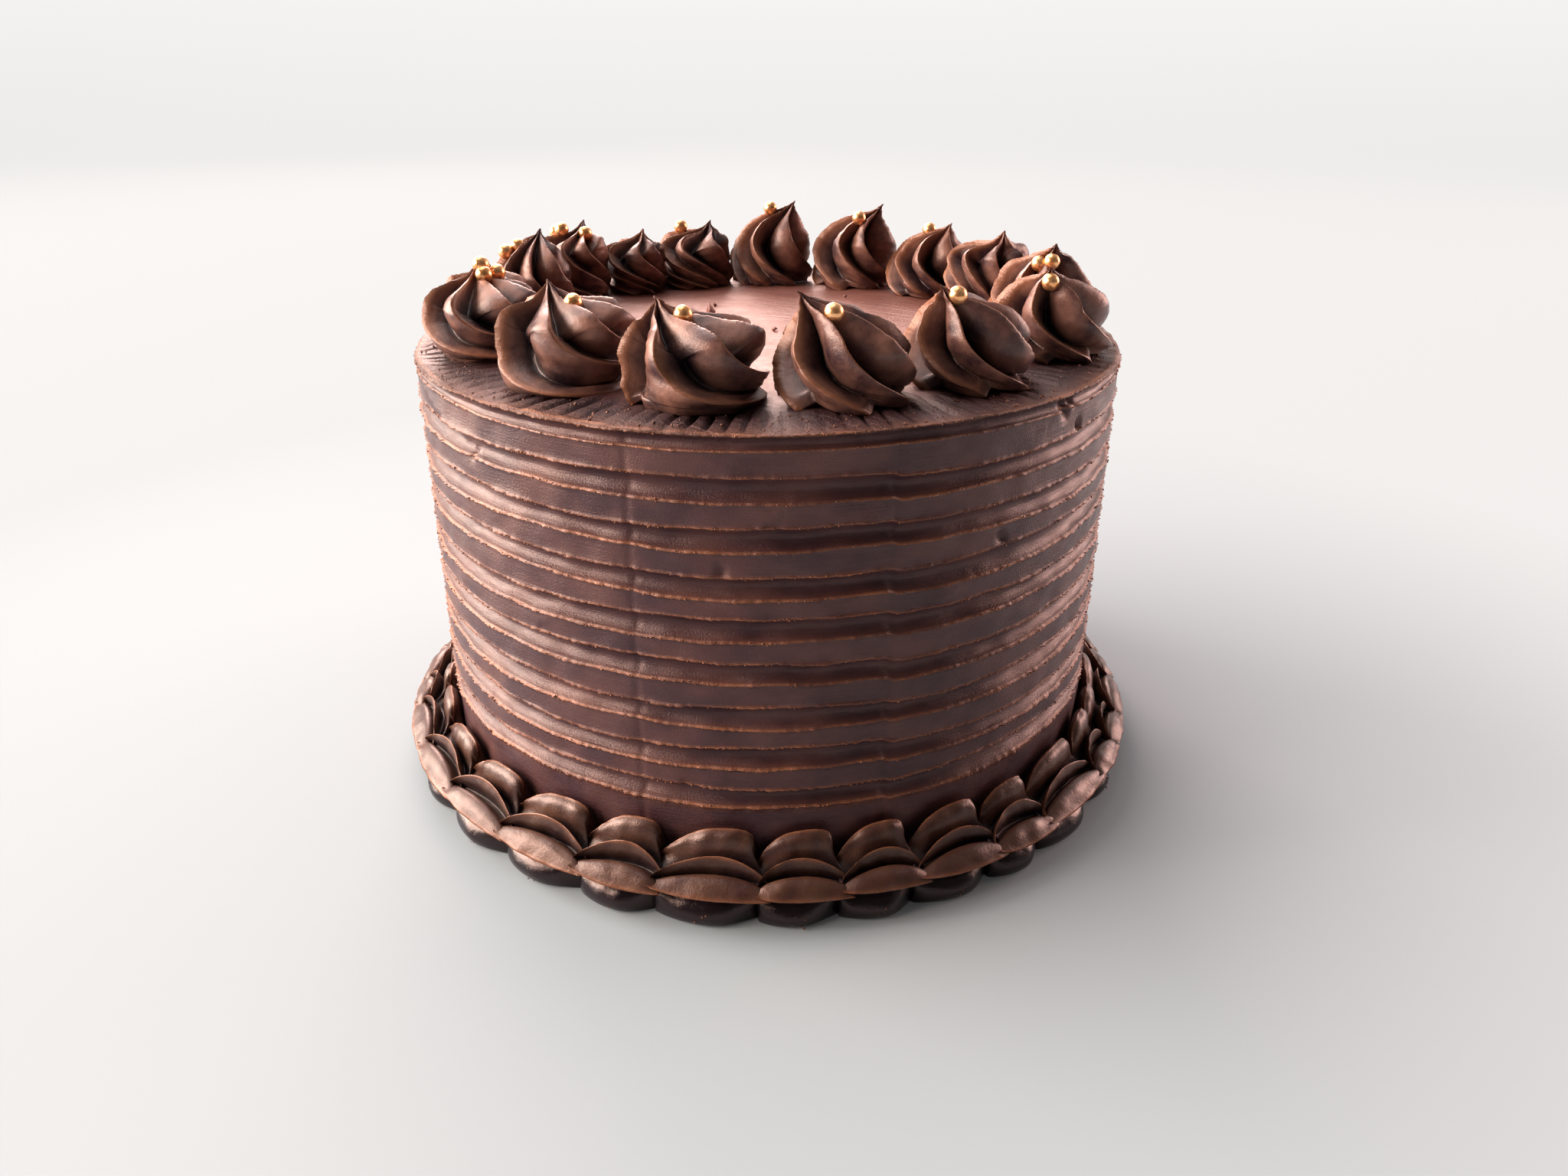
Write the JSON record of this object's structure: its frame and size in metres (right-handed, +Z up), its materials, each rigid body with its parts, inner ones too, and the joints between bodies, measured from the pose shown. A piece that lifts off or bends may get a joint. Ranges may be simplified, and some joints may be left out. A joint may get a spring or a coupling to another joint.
{
  "type": "chocolate cake",
  "caption": "Round chocolate cake with a comb-ridged side, a crown of piped rosettes carrying sugar pearls, and a piped shell border round the foot.",
  "frame": {"origin": "centre of the cake's flat underside, on the surface it stands on", "axes": "+Z up; -Y towards the side that faces the camera in the picture; +X to the right seen from there"},
  "size_m": [0.2026, 0.203, 0.1343],
  "materials": {
    "icing": "chocolate icing, combed, with a soft sheen",
    "piping": "piped chocolate icing, satin, with glossy undersides",
    "pearl": "gold-lustred sugar pearls, smooth and shiny, a little uneven"
  },
  "bodies": {
    "root": {"cake_body": "icing", "shell_border": "piping", "rosette_01": "piping", "rosette_02": "piping", "rosette_03": "piping", "rosette_04": "piping", "rosette_05": "piping", "rosette_06": "piping", "rosette_07": "piping", "rosette_08": "piping", "rosette_09": "piping", "rosette_10": "piping", "rosette_11": "piping", "rosette_12": "piping", "rosette_13": "piping", "rosette_14": "piping", "rosette_15": "piping", "rosette_16": "piping"}
  },
  "joints": []
}
